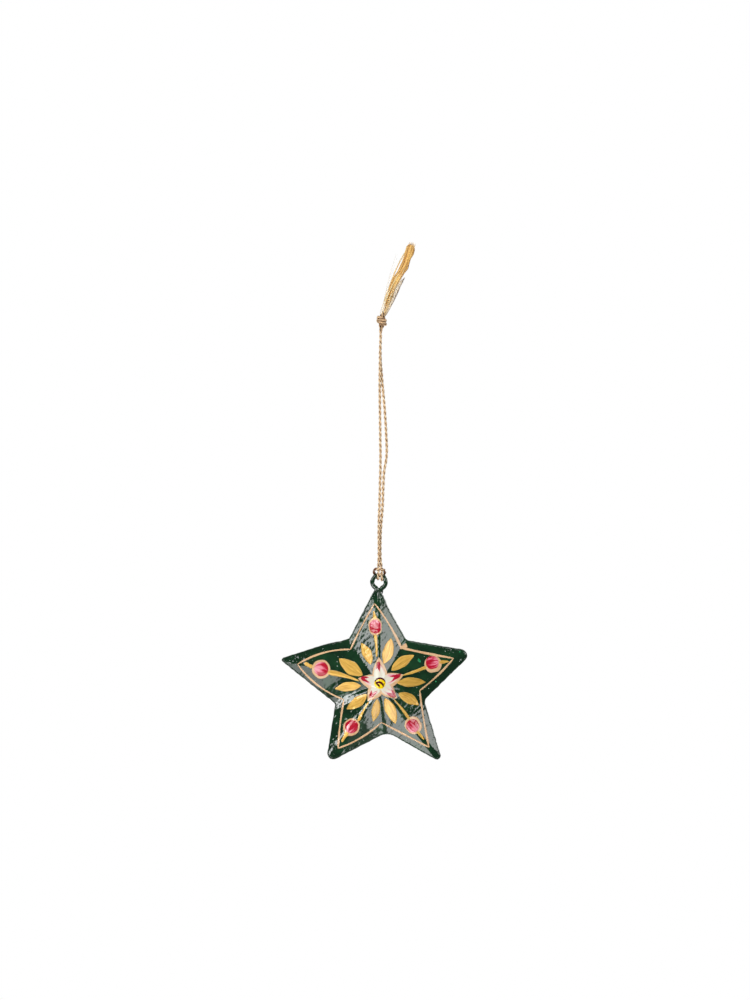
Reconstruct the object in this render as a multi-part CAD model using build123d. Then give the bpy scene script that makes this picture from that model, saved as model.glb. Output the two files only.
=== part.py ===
from build123d import *
import math
import os

# A painted tin star that hangs by a wire eye from a knotted loop of two-ply cord.
# Millimetres, +Z up, the front of the star faces -Y. The origin is the hanging point, inside the
# cord loop just under its knot, where a hook or a twig takes it.

# Star: two pressed halves of tinplate, soldered edge to edge on the plane Y = 0
TIN = 0.4  # tinplate
STAR_HALF_DEPTH = 9.0  # from the parting plane to the peak of a half
TOP_REACH = 40.3  # from the star's centre to the blunt end of the top arm
PRESS_TOP_REACH = 45.2  # to the point where the facets of the top arm would meet, were it not blunt
PRESS_TOP_RADIUS = 0.5
BEAD = 0.45  # how far the soldered bead stands out from the tin

# Corners of the tin, seen from the front, on each side of the blunt top:
# angle from +X in degrees, distance from the star's centre, corner radius
CORNERS_BEFORE_TOP = [
    (19.5, 42.4, 2.3),  # tip of the right arm
    (58.9, 22.1, 2.5),  # valley between the right arm and the top arm
    (84.8, 33.2, 9.0),  # the top arm is pinched in towards its eye
]
CORNERS_AFTER_TOP = [
    (123.9, 23.4, 1.6),  # valley between the top arm and the left arm
    (145.1, 29.5, 20.0),  # bowed upper edge of the left arm
    (165.5, 43.9, 0.9),  # tip of the left arm
    (203.2, 20.3, 2.6),  # valley between the left arm and the lower left arm
    (235.8, 40.5, 2.1),  # tip of the lower left arm
    (279.4, 20.3, 7.0),  # valley between the two lower arms
    (308.8, 42.8, 1.3),  # tip of the lower right arm
    (341.0, 19.9, 3.0),  # valley between the lower right arm and the right arm
]

# Eye: one bent wire, a round loop on two legs that stand side by side in the top arm
WIRE_D = 1.7
EYE_OFFSET_X = -0.25  # the eye stands a little to the left of the star's centre
EYE_RADIUS = 2.9  # of the wire's centre line
NECK_RADIUS = 1.3  # of the bends between the loop and the legs
LEG_GAP = 0.06  # between the two legs
LEG_DEPTH = 9.0  # length of the legs below the end of the top arm
NECK_ABOVE_TIP = 0.5  # straight leg that shows above the end of the top arm

# Solder that holds the eye
LEG_CLEARANCE = 0.05  # between a leg and the tin in front of it and behind it
MOUTH_CLEARANCE = 0.1  # between a leg and the tin beside it
SOLDER_DEPTH = 6.0  # how far the solder fills the top arm
COLLAR_HEIGHT = 0.9
COLLAR_WALL = 0.12  # thinnest edge of the solder, at the top of the collar

# Cord, twisted by hand from two plies. Its routes are points chosen by hand.
CORD_D = 1.3
ARC_SHARE = 0.45  # of the shorter run, taken up by the arc at each point of a route
KNOT_BASE_Z = -1.7  # underside of the knot, where the two strands go in
STRAND_LEFT = [
    (0.45, -0.70, KNOT_BASE_Z),
    (0.45, -0.70, -5.5),
    (0.20, -0.74, -10.5),
    (0.16, -0.68, -16.0),
    (0.02, -0.46, -23.0),
    (0.08, -0.16, -31.0),
    (0.22, 0.00, -40.0),
    (0.28, 0.05, -48.0),
    (0.42, 0.00, -56.0),
    (0.30, -0.05, -64.0),
    (0.06, 0.00, -72.0),
    (-0.12, -0.16, -78.5),
    (-0.38, -0.42, -84.5),
    (-0.38, -0.58, -91.0),
    (-0.36, -0.56, -97.0),
]
STRAND_RIGHT = [
    (0.45, 0.70, KNOT_BASE_Z),
    (0.45, 0.70, -5.0),
    (0.28, 0.73, -9.5),
    (0.42, 0.72, -15.0),
    (0.95, 0.54, -21.5),
    (1.65, 0.20, -29.0),
    (2.40, 0.00, -38.0),
    (2.85, -0.08, -46.5),
    (3.18, -0.02, -53.5),
    (2.80, 0.04, -57.8),
    (1.92, 0.06, -61.8),
    (1.60, 0.00, -68.0),
    (1.42, 0.06, -74.0),
    (1.20, 0.26, -79.5),
    (0.66, 0.55, -84.8),
    (0.36, 0.64, -91.0),
    (0.38, 0.667, -97.0),
]
STRAND_END_Z = STRAND_LEFT[-1][2]

# Cow hitch, from the left strand to the right one, with heights above the top of the wire loop:
# down in front of the wire, under it, up behind it, out and over to the bar in front of both
# strands, and back the same way on the other side
HITCH_RISE = 10.1  # from the top of the wire loop to the ends of the strands
HITCH = [
    (-0.36, -0.56, HITCH_RISE),
    (-0.35, -0.55, 7.0),
    (-0.48, -0.25, 5.2),
    (-0.58, 0.46, 3.4),
    (-0.52, -1.66, 1.2),
    (-0.50, -1.85, -1.8),
    (-0.78, 1.80, -2.0),
    (-2.05, 1.95, 0.15),
    (-2.80, 0.55, 2.10),
    (-1.85, -1.45, 3.30),
    (0.10, -2.05, 3.20),
    (1.68, -1.80, 3.20),
    (2.72, 0.20, 2.02),
    (2.35, 1.90, 0.05),
    (1.00, 1.85, -2.4),
    (0.82, -1.85, -2.25),
    (0.86, -1.66, 1.1),
    (0.88, 0.50, 3.4),
    (0.68, 0.62, 5.2),
    (0.39, 0.68, 7.0),
    (0.38, 0.667, HITCH_RISE),
]

# Knot: the two strands pass up through a core, and one of them wraps round it
KNOT_CORD_D = 1.2  # the cord is thinner where it is drawn tight
KNOT_TURNS = 1.75
KNOT_PITCH = 1.3
KNOT_TILT = 0.45  # how far a turn of the wrap rises from its left side to its right side
KNOT_RADIUS = 1.75  # of the wrap's centre line
KNOT_DIP = 0.95  # how far each end of the wrap dives into the core
KNOT_DIP_TURN = 0.2  # share of a turn in which it dives
KNOT_STEPS = 24
KNOT_WAIST_Z = 0.6  # the core is round from here up
CORE_DEPTH = 2.5

# Tassel: the frayed ends above the knot
TASSEL_BASE = (1.60, 0.0, 5.1)
TASSEL_LEAN = 22.0  # degrees to the right of upright
TASSEL_LENGTH = 34.0
TASSEL_BINDING = 0.6  # height of the bound base
TASSEL_RINGS = 3  # rings of yarns round the middle one
YARN_SPACING = 0.40
YARN_WIDTH = 0.34
YARN_STATIONS = [(0.0, 1.0), (0.30, 1.15), (0.65, 1.65), (1.0, 1.45)]  # share of length, spread
YARN_UNEVENNESS = 0.16  # how much shorter the shortest yarn is, as a share of the length

# Places that follow from these sizes
wire_r = WIRE_D / 2
leg_x = wire_r + LEG_GAP / 2
rim_half_depth = wire_r + LEG_CLEARANCE + TIN
mouth_width = 2 * (leg_x + wire_r + MOUTH_CLEARANCE)
tip_width = mouth_width + 2 * TIN
tip_corner = 1.25 * TIN
eye_top_z = STRAND_END_Z - HITCH_RISE
eye_z = eye_top_z - EYE_RADIUS
neck_x = leg_x + NECK_RADIUS
neck_drop = math.sqrt((EYE_RADIUS + NECK_RADIUS) ** 2 - neck_x**2)
tip_z = eye_z - neck_drop - NECK_ABOVE_TIP
star_z = tip_z - TOP_REACH
star_plane = Plane(origin=(0, 0, star_z), x_dir=(1, 0, 0), z_dir=(0, -1, 0))
tip_place = Pos(EYE_OFFSET_X, 0, tip_z)


def corner(angle, reach):
    """Point of the star's plane at an angle and a distance from its centre."""
    return (reach * math.cos(math.radians(angle)), reach * math.sin(math.radians(angle)))


def star_face(corners_before, top, top_radius):
    """Star of straight sides with rounded tips and valleys, and these corners at its top."""
    before = [corner(angle, reach) for angle, reach, _ in corners_before]
    after = [corner(angle, reach) for angle, reach, _ in CORNERS_AFTER_TOP]
    radii = [radius for _, _, radius in corners_before]
    radii += [top_radius] * len(top)
    radii += [radius for _, _, radius in CORNERS_AFTER_TOP]
    return make_face(FilletPolyline(*before, *top, *after, radius=radii, close=True))


def star_half(face, press, edge, peak):
    """Half star in its own plane: facets that rise from the outline of the press to one peak,
    trimmed to the edge of the tin, on an upright edge."""
    facets = loft([Pos(0, 0, edge) * press, Vertex(0, 0, peak)], ruled=True)
    return extrude(face, edge) + (facets & extrude(face, peak))


def mirrored(half):
    """The same half behind the parting plane."""
    return mirror(half, about=Plane.XZ)


def cord_tube(name, points, diameter):
    """Round tube along a cord's route: straight runs joined by the largest arcs they allow."""
    radii = []
    for a, b, c in zip(points, points[1:], points[2:]):
        run_in = Vector(b) - Vector(a)
        run_out = Vector(c) - Vector(b)
        half_turn = math.radians(run_in.get_angle(run_out)) / 2
        radii.append(ARC_SHARE * min(run_in.length, run_out.length) / math.tan(half_turn))
    path = FilletPolyline(*points, radius=radii)
    section = Plane(origin=path @ 0, z_dir=path % 0) * Circle(diameter / 2)
    tube = sweep(section, path=path)
    share = tube.volume / (math.pi * diameter**2 / 4 * path.length)
    print(name, "length", round(path.length, 1), "volume by section times length", round(share, 4))
    print("  arc radii", [round(radius, 1) for radius in radii])
    return tube


# Tin halves: the hollow is the same form one tin thickness in, with its facets a tin lower
blunt_top = [(EYE_OFFSET_X + side * tip_width / 2, TOP_REACH) for side in (1, -1)]
outline = star_face(CORNERS_BEFORE_TOP, blunt_top, tip_corner)
press_top = [(EYE_OFFSET_X, PRESS_TOP_REACH)]
press_outline = star_face(CORNERS_BEFORE_TOP[:-1], press_top, PRESS_TOP_RADIUS)
valley_reach = min(reach for _, reach, _ in CORNERS_BEFORE_TOP + CORNERS_AFTER_TOP)
facet_tilt = math.atan2(STAR_HALF_DEPTH - rim_half_depth, valley_reach)
tin_upright = TIN / math.cos(facet_tilt)
hollow_edge = rim_half_depth + TIN * math.tan(facet_tilt) - tin_upright
outer_half = star_half(outline, press_outline, rim_half_depth, STAR_HALF_DEPTH)
hollow_half = star_half(
    offset(outline, -TIN), offset(press_outline, -TIN), hollow_edge, STAR_HALF_DEPTH - tin_upright
)
hollow_front = star_plane * hollow_half
mouth = tip_place * Box(mouth_width, WIRE_D + 2 * LEG_CLEARANCE, 4 * TIN)
front_shell = star_plane * outer_half - hollow_front - mouth
back_shell = mirrored(front_shell)

# Wire eye: up the left leg, round the loop and down the right leg
legs_top = eye_z - neck_drop
legs_foot = tip_z - LEG_DEPTH
loop_share = EYE_RADIUS / (EYE_RADIUS + NECK_RADIUS)
loop_foot_x = neck_x * loop_share
loop_foot_z = eye_z - neck_drop * loop_share
bend_angle = math.atan2(neck_drop, neck_x) / 2
bend_x = neck_x - NECK_RADIUS * math.cos(bend_angle)
bend_z = legs_top + NECK_RADIUS * math.sin(bend_angle)


def eye_point(x, z):
    """Point of the wire's centre line, measured from the eye's own upright axis."""
    return (EYE_OFFSET_X + x, 0, z)


eye_path = Wire(
    [
        Edge.make_line(eye_point(-leg_x, legs_foot), eye_point(-leg_x, legs_top)),
        Edge.make_three_point_arc(
            eye_point(-leg_x, legs_top),
            eye_point(-bend_x, bend_z),
            eye_point(-loop_foot_x, loop_foot_z),
        ),
        Edge.make_three_point_arc(
            eye_point(-loop_foot_x, loop_foot_z),
            eye_point(0, eye_top_z),
            eye_point(loop_foot_x, loop_foot_z),
        ),
        Edge.make_three_point_arc(
            eye_point(loop_foot_x, loop_foot_z),
            eye_point(bend_x, bend_z),
            eye_point(leg_x, legs_top),
        ),
        Edge.make_line(eye_point(leg_x, legs_top), eye_point(leg_x, legs_foot)),
    ]
)
wire_eye = sweep(Plane(origin=eye_path @ 0, z_dir=eye_path % 0) * Circle(wire_r), path=eye_path)

# Solder round the legs: it fills the end of the hollow and the mouth, and rises in a collar
collar_base = RectangleRounded(tip_width, 2 * rim_half_depth, tip_corner)
collar_top = RectangleRounded(
    2 * (leg_x + wire_r + COLLAR_WALL), 2 * (wire_r + COLLAR_WALL), tip_corner
)
collar = tip_place * loft([collar_base, Pos(0, 0, COLLAR_HEIGHT) * collar_top])
arm_end = tip_place * Pos(0, 0, -SOLDER_DEPTH / 2) * Box(
    4 * tip_width, 2 * STAR_HALF_DEPTH, SOLDER_DEPTH
)
filled_hollow = (hollow_front + mirrored(hollow_front)) & arm_end
eye_solder = filled_hollow + (mouth & arm_end) + collar - wire_eye

# Solder bead round the edge of the star, open where the collar closes the top arm
bead_block = extrude(offset(outline, BEAD), rim_half_depth, both=True)
bead_levels = bead_block.edges().group_by(Axis.Z)
bead_block = fillet(bead_levels[0] + bead_levels[-1], 0.85 * BEAD)
rim_solder = star_plane * (bead_block - extrude(outline, 2 * rim_half_depth, both=True)) - collar

# Cord from the knot down to the eye and back
hitch_points = [(x, y, eye_top_z + z) for x, y, z in HITCH]
cord_strand_left = cord_tube("cord_strand_left", STRAND_LEFT, CORD_D)
cord_strand_right = cord_tube("cord_strand_right", STRAND_RIGHT, CORD_D)
cord_hitch = cord_tube("cord_hitch", hitch_points, CORD_D)

# Knot core: flat round the two strands below, round above, leaning into the tassel
lean = math.radians(TASSEL_LEAN)
tassel_plane = Plane(
    origin=TASSEL_BASE,
    x_dir=(math.cos(lean), 0, -math.sin(lean)),
    z_dir=(math.sin(lean), 0, math.cos(lean)),
)
knot_foot = (Vector(STRAND_LEFT[0]) + Vector(STRAND_RIGHT[0])) * 0.5
foot_depth = (Vector(STRAND_LEFT[0]) - Vector(STRAND_RIGHT[0])).length + CORD_D
knot_axis = (Vector(TASSEL_BASE) - knot_foot).normalized()
knot_waist = knot_foot + knot_axis * ((KNOT_WAIST_Z - KNOT_BASE_Z) / knot_axis.Z)
core_sections = [
    Pos(*knot_foot) * Rot(0, 0, 90) * SlotOverall(foot_depth, CORD_D),
    Pos(*knot_waist) * Rot(0, 0, 90) * SlotOverall(CORE_DEPTH, 0.9 * CORE_DEPTH),
    tassel_plane * Rot(0, 0, 90) * SlotOverall(CORE_DEPTH, 0.9 * CORE_DEPTH),
]
knot_core = loft(core_sections, ruled=True)

# Knot wrap: a short helix round the core, whose two ends dive into it
knot_middle = (knot_waist + Vector(TASSEL_BASE)) * 0.5
knot_plane = Plane(origin=knot_middle, x_dir=(knot_axis.Z, 0, -knot_axis.X), z_dir=knot_axis)


def wrap_point(step):
    """Point of the wrap: a tilted helix that is drawn in towards the axis near its ends."""
    turn = KNOT_TURNS * step / KNOT_STEPS
    to_end = min(turn, KNOT_TURNS - turn)
    radius = KNOT_RADIUS - KNOT_DIP * max(0.0, 1 - to_end / KNOT_DIP_TURN)
    angle = 2 * math.pi * turn
    rise = KNOT_PITCH * (turn - KNOT_TURNS / 2) + KNOT_TILT * math.cos(angle)
    local = Vector(radius * math.cos(angle), radius * math.sin(angle), rise)
    return tuple(knot_plane.from_local_coords(local))


wrap_points = [wrap_point(step) for step in range(KNOT_STEPS + 1)]
cord_knot = knot_core + cord_tube("cord_knot wrap", wrap_points, KNOT_CORD_D)


def yarn(ring, index):
    """One square yarn that spreads with the tuft, shorter or longer than its neighbours."""
    turn = 2 * math.pi * index / max(6 * ring, 1)
    length = TASSEL_LENGTH * (1 - YARN_UNEVENNESS * (0.5 + 0.5 * math.sin(7 * turn + 2 * ring)))
    sections = []
    for share, spread in YARN_STATIONS:
        out = ring * YARN_SPACING * spread
        place = Pos(out * math.cos(turn), out * math.sin(turn), share * length)
        sections.append(tassel_plane * place * Rectangle(YARN_WIDTH, YARN_WIDTH))
    return loft(sections, ruled=True)


# Tassel: rings of yarns on a short bound base
binding = Circle(TASSEL_RINGS * YARN_SPACING + YARN_WIDTH / 2)
yarns = [yarn(ring, i) for ring in range(TASSEL_RINGS + 1) for i in range(max(6 * ring, 1))]
cord_tassel = (tassel_plane * extrude(binding, TASSEL_BINDING)).fuse(*yarns)

pieces = {
    "front_shell": front_shell,
    "back_shell": back_shell,
    "rim_solder": rim_solder,
    "wire_eye": wire_eye,
    "eye_solder": eye_solder,
    "cord_strand_left": cord_strand_left,
    "cord_strand_right": cord_strand_right,
    "cord_hitch": cord_hitch,
    "cord_knot": cord_knot,
    "cord_tassel": cord_tassel,
}
os.makedirs("parts", exist_ok=True)
for name, piece in pieces.items():
    export_step(piece, f"parts/{name}.step")
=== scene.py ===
import bpy
import numpy as np
from mathutils import Matrix


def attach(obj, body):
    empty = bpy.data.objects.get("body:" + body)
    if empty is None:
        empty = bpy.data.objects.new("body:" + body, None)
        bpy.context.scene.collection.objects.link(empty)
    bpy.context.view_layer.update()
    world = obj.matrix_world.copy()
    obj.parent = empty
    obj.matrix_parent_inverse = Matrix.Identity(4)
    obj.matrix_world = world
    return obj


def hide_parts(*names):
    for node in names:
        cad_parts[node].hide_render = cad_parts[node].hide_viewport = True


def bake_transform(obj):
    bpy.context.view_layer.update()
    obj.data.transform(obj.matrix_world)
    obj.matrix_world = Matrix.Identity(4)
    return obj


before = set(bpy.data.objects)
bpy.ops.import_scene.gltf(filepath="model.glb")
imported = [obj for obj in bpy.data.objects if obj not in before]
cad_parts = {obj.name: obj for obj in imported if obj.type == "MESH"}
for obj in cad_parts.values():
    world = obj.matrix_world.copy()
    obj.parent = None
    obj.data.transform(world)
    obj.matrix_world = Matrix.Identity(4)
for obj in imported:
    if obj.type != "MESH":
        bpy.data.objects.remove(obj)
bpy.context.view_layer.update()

# Tin halves: two pressed half stars of tinplate, soldered edge to edge and brushed with green enamel.
# Ten flat facets rise from the edge of each half to one peak. The ridges are softened by the press
# and by the thick paint, which dried in lumps and brush ridges.
MM = 0.001  # sizes are in mm until a mesh is made of them
STAR_Z = -154.39  # height of the star's centre
TIN = 0.4
WALL = 1.2 * TIN  # the tin of a sloping facet, measured from front to back
PEAK = 9.0
RIM = 1.3  # half the depth of the star's edge
LEAST_HEIGHT = 0.75 * RIM  # of a half, where it reaches past the edge of its facets
TIP_Z = 40.3  # the blunt top, above the centre
TOP_LEFT = -2.25
TOP_RIGHT = 0.30
TOP_CORNER = 0.5  # radius of the top's corners
FACET_TIP = (-0.25, 45.2)  # where the facets of the top arm would meet, above its blunt end
POLAR_CORNERS = [
    # angle from +X, reach, corner radius
    (123.9, 23.4, 1.6),
    (145.1, 29.5, 20.0),
    (165.5, 43.9, 0.5),
    (203.2, 20.3, 2.6),
    (235.8, 40.5, 2.1),
    (279.4, 20.3, 7.0),
    (308.8, 42.8, 1.3),
    (341.0, 19.9, 3.0),
    (379.5, 42.4, 2.3),
    (418.9, 22.1, 2.5),
    (443.5, 32.6, 3.0),
]
LOW_NOTCH = 5  # its place in that list
LOW_CREASE = (276.2, 20.5, 2.2)  # the crease under the flower is sharper than its notch and left of it
CORNER_POINTS = 15
EDGE_POINTS = 720


def unit(vectors):
    """Vectors of length one, in the same directions."""
    return vectors / np.linalg.norm(vectors, axis=-1, keepdims=True)


def travelled(line):
    """Length along a line of points, from the first one to each."""
    return np.concatenate([[0], np.cumsum(np.linalg.norm(np.diff(line, axis=0), axis=1))])


def points_at(places, line):
    """Points of a line at these lengths along it."""
    along = travelled(line)
    return np.stack([np.interp(places, along, axis) for axis in line.T], -1)


def rounded_outline(corners, radii):
    """Closed outline of straight sides and corner arcs, as evenly spaced points.
    An arc starts and ends radius * tan(half the turn) from its corner, and its points are turned
    from the first radius to the last one."""
    back = unit(np.roll(corners, 1, 0) - corners)
    ahead = unit(np.roll(corners, -1, 0) - corners)
    half_turn = (np.pi - np.arccos(np.clip((back * ahead).sum(1), -1, 1))) / 2
    cut = (radii * np.tan(half_turn))[:, None]
    centre = corners + unit(back + ahead) * (radii / np.cos(half_turn))[:, None]
    first = corners + back * cut - centre
    last = corners + ahead * cut - centre
    share = np.linspace(0, 1, CORNER_POINTS)[None, :, None]
    turn = 2 * half_turn[:, None, None]
    swept = np.sin((1 - share) * turn) * first[:, None] + np.sin(share * turn) * last[:, None]
    points = (centre[:, None] + swept / np.sin(turn)).reshape(-1, 2)
    loop = np.vstack([points, points[:1]])
    return points_at(np.linspace(0, travelled(loop)[-1], EDGE_POINTS, endpoint=False), loop)


def outline_with_top(polar_corners, top_corners):
    """The rounded outline through corners given by angle, reach and radius, and those of the top."""
    polar = np.array(polar_corners)
    angle = np.radians(polar[:, 0])
    corners = polar[:, 1, None] * np.stack([np.cos(angle), np.sin(angle)], -1)
    radii = np.append(polar[:, 2], np.full(len(top_corners), TOP_CORNER))
    return rounded_outline(np.vstack([corners, top_corners]), radii)


star_edge = outline_with_top(POLAR_CORNERS, [(TOP_RIGHT, TIP_Z), (TOP_LEFT, TIP_Z)])
facet_corners = POLAR_CORNERS[:LOW_NOTCH] + [LOW_CREASE] + POLAR_CORNERS[LOW_NOTCH + 1 : -1]
facet_edge = outline_with_top(facet_corners, [FACET_TIP])
edge_turn = np.arctan2(facet_edge[:, 1], facet_edge[:, 0])
edge_order = np.argsort(edge_turn)
edge_turn = edge_turn[edge_order]
edge_reach = np.hypot(*facet_edge[edge_order].T)

RIDGE_SPREAD = 0.42  # half the width over which a ridge is rounded
RIDGE_SAMPLES = 7
PEAK_ROUND = 1.2  # within this distance of the centre the ridges run together
WORN = [(235.8, 1.9), (203.2, 3.2)]  # heading of a ridge or crease that is rounder, and its spread
WORN_BELL = 13.0  # degrees to each side over which it is


def facet_reach(turn):
    """Distance from the centre to the edge of the facets, in these directions."""
    return np.interp(turn, edge_turn, edge_reach, period=2 * np.pi)


def pressed_height(x, z):
    """Height of a half above the parting plane, in mm: along a ray from the centre it falls in a
    straight line from the peak to the rim, and the mean over a short arc rounds ridges and creases."""
    reach = np.hypot(x, z)
    turn = np.arctan2(z, x)
    spread = RIDGE_SPREAD
    for heading, worn in WORN:
        off = (np.degrees(turn) - heading + 180) % 360 - 180
        spread = spread + (worn - RIDGE_SPREAD) * np.exp(-((off / WORN_BELL) ** 2))
    height = 0.0
    for shift in np.linspace(-1, 1, RIDGE_SAMPLES):
        arc_shift = shift * spread / np.maximum(reach, PEAK_ROUND)
        height = height + PEAK - (PEAK - RIM) * reach / facet_reach(turn + arc_shift)
    return np.maximum(height / RIDGE_SAMPLES, LEAST_HEIGHT)


def waves(seed, count, shortest, longest, slope, heading=0.0, spread=180.0):
    """Ripples of random length and heading: wave vectors, phases and heights for one mean slope."""
    draw = np.random.default_rng(seed)
    length = np.exp(draw.uniform(np.log(shortest), np.log(longest), count))
    heading = np.radians(heading + draw.uniform(-spread, spread, count))
    vector = 2 * np.pi / length[:, None] * np.stack([np.cos(heading), np.sin(heading)], -1)
    return vector, draw.uniform(0, 2 * np.pi, count), slope * np.sqrt(2 / count) * length / (2 * np.pi)


def ripple(x, z, parts):
    """Sum of the ripples, each its height times the cosine of its phase at (x, z)."""
    total = 0.0
    for (kx, kz), phase, height in zip(*parts):
        total = total + height * np.cos(kx * x + kz * z + phase)
    return total


def bells(x, z, rows):
    """Sum of round bells, each its height * exp(-distance^2 / (2 * spread^2)) from its middle."""
    total = 0.0
    for middle_x, middle_z, spread, height in rows:
        square = (x - middle_x) ** 2 + (z - middle_z) ** 2
        total = total + height * np.exp(-square / (2 * spread**2))
    return total


# Each set of ripples: seed, how many, shortest and longest, slope, and the heading with its spread
DENTS = waves(3, 16, 7.0, 18.0, 0.014)
LUMPS = waves(5, 26, 2.6, 6.0, 0.017)
CRUST = waves(8, 40, 0.8, 2.5, 0.085, 150.0, 38.0)
CRUST_FLAT = 0.010  # only what stands above this is left of the coarse brushing, so that it is sparse
CRUST_GAIN = 2.4
THIN_CRUST = 0.10  # strength of the coarse brushing all over
EDGE_CRUST = 0.45  # added to it at the edge of the star
EDGE_BAND = 4.5  # distance from the edge over which that dies away
CRUST_PATCHES = [
    # x, z, spread, strength of the coarse brushing
    (-8.2, 25.0, 6.5, 2.7),
    (10.9, 19.1, 2.0, 3.0),
    (-5.5, 17.0, 3.5, 1.4),
    (-1.0, 37.5, 3.0, 0.9),
    (-38.0, 9.8, 4.0, 0.6),
    (-13.0, -9.0, 4.0, 0.8),
    (-8.5, -14.0, 4.0, 1.2),
    (13.5, -10.5, 4.0, 0.9),
    (-20.0, 3.0, 3.0, 0.5),
    (-19.5, -22.0, 4.0, 0.7),
    (-21.5, -11.0, 3.0, 1.2),
    (2.2, 35.0, 2.4, 3.0),
    (0.5, 38.5, 1.8, 2.6),
]
BULGES = [
    # x, z, spread, height of a swelling where the sheet wasn't pressed quite flat
    (-22.5, -1.5, 8.0, 0.55),
    (-6.0, -14.5, 7.0, 0.70),
    (10.5, -1.5, 6.0, 1.10),
]
SOLDER_RUN = (-0.6, 39.0, 0.55, 1.5, 4.2)  # x, z, height, width, length of the run below the eye


def enamel_height(x, z):
    """The pressed height plus bulges and dents of the tin, lumps of paint, coarse brushing in patches
    and along the edge, and the run of solder and paint below the eye, a bell longer than it is wide."""
    room = facet_reach(np.arctan2(z, x)) - np.hypot(x, z)
    strength = THIN_CRUST + EDGE_CRUST * np.exp(-((room / EDGE_BAND) ** 2)) + bells(x, z, CRUST_PATCHES)
    crust = CRUST_GAIN * strength * np.maximum(ripple(x, z, CRUST) - CRUST_FLAT, 0)
    lumps = ripple(x, z, DENTS) + ripple(x, z, LUMPS) + crust
    run_x, run_z, run_height, run_wide, run_long = SOLDER_RUN
    run = run_height * np.exp(-(((x - run_x) / run_wide) ** 2) - ((z - run_z) / run_long) ** 2)
    return pressed_height(x, z) + bells(x, z, BULGES) + lumps + run


def closed_tubes(points, ends=None):
    """Vertices and faces of tubes given as grids (tube, row, column, xyz). Columns close on
    themselves; rows end in one point each, or close on themselves too if there are no ends."""
    tubes, rows, columns = points.shape[:3]
    index = np.arange(tubes * rows * columns).reshape(tubes, rows, columns)
    index = np.concatenate([index, index[:, :, :1]], 2)
    if ends is None:
        index = np.concatenate([index, index[:, :1]], 1)
    corners = [index[:, :-1, :-1], index[:, :-1, 1:], index[:, 1:, 1:], index[:, 1:, :-1]]
    faces = np.stack(corners, -1).reshape(-1, 4).tolist()
    vertices = points.reshape(-1, 3)
    if ends is not None:
        apex = len(vertices) + np.arange(tubes * 2).reshape(tubes, 2, 1)
        apex = np.broadcast_to(apex, (tubes, 2, columns))
        first = np.stack([apex[:, 0], index[:, 0, 1:], index[:, 0, :-1]], -1)
        last = np.stack([apex[:, 1], index[:, -1, :-1], index[:, -1, 1:]], -1)
        faces += first.reshape(-1, 3).tolist() + last.reshape(-1, 3).tolist()
        vertices = np.vstack([vertices, ends.reshape(-1, 3)])
    return vertices, faces


def new_piece(name, surface, finish, body=None, cad_node=None):
    """A smooth-shaded piece, the CAD node that it stands for and the body it rides on.
    surface is its vertices in mm, its faces and, where its pattern needs one, a local vector each."""
    vertices, faces, *local = surface
    mesh = bpy.data.meshes.new(name)
    mesh.from_pydata((vertices * MM).tolist(), [], faces)
    mesh.polygons.foreach_set("use_smooth", np.ones(len(mesh.polygons), bool))
    if local:
        vectors = np.ascontiguousarray(local[0], np.float32).ravel()
        mesh.attributes.new("local", "FLOAT_VECTOR", "POINT").data.foreach_set("vector", vectors)
    mesh.materials.append(finish)
    piece = bpy.data.objects.new(name, mesh)
    bpy.context.scene.collection.objects.link(piece)
    if cad_node:
        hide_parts(cad_node)
    if body:
        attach(piece, body)
    return piece


HOLLOW_INSET = 1.5 * TIN  # of the hollow from the edge
HOLLOW_ROWS = 8
EDGE_LEVELS = (0, 0.33, 0.66)  # of the height at the edge
EDGE_ROWS = 5  # close together, where the facets turn over into the edge
FACET_ROWS = 116


def half_star(height, side):
    """Grid of one half, from the peak of its hollow to the rim, over the edge and back to its peak.
    side is -1 in front and 1 behind."""
    inset = star_edge * (1 - HOLLOW_INSET / np.hypot(*star_edge.T))[:, None]
    grids = []
    for share in np.linspace(0.02, 1, HOLLOW_ROWS):
        plan = inset * share
        grids.append((plan, np.maximum(pressed_height(*plan.T) - WALL, 0.02) * (share < 1)))
    for level in EDGE_LEVELS:
        grids.append((star_edge, level * pressed_height(*star_edge.T)))
    for share in np.concatenate([np.linspace(1, 0.94, EDGE_ROWS), np.linspace(0.93, 0.012, FACET_ROWS)]):
        plan = star_edge * share
        grids.append((plan, height(*plan.T)))
    rows = [np.stack([plan[:, 0], side * up, STAR_Z + plan[:, 1]], -1) for plan, up in grids]
    ends = np.array([[0, side * (PEAK - WALL), STAR_Z], [0, side * height(0.0, 0.0), STAR_Z]])
    grid = np.array(rows)[None]
    return closed_tubes(grid if side < 0 else grid[:, :, ::-1], ends[None])


def linear(hex_colour):
    """Linear RGBA of an sRGB hex colour, by the sRGB curve."""
    srgb = np.array([int(hex_colour[i : i + 2], 16) for i in (1, 3, 5)]) / 255
    curve = np.where(srgb <= 0.04045, srgb / 12.92, ((srgb + 0.055) / 1.055) ** 2.4)
    return (*curve.tolist(), 1.0)


def plug(tree, node, **inputs):
    """Each input of a node is linked from a socket or set to a value. i6 is the input of number 6."""
    for name, value in inputs.items():
        key = int(name[1:]) if name[0] == "i" and name[1:].isdigit() else name.replace("_", " ")
        if isinstance(value, bpy.types.NodeSocket):
            tree.links.new(value, node.inputs[key])
        else:
            node.inputs[key].default_value = value


def add_node(tree, kind, settings=None, **inputs):
    """A shader node with its settings and its inputs."""
    node = tree.nodes.new("ShaderNode" + kind)
    for name, value in (settings or {}).items():
        setattr(node, name, value)
    plug(tree, node, **inputs)
    return node


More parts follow.
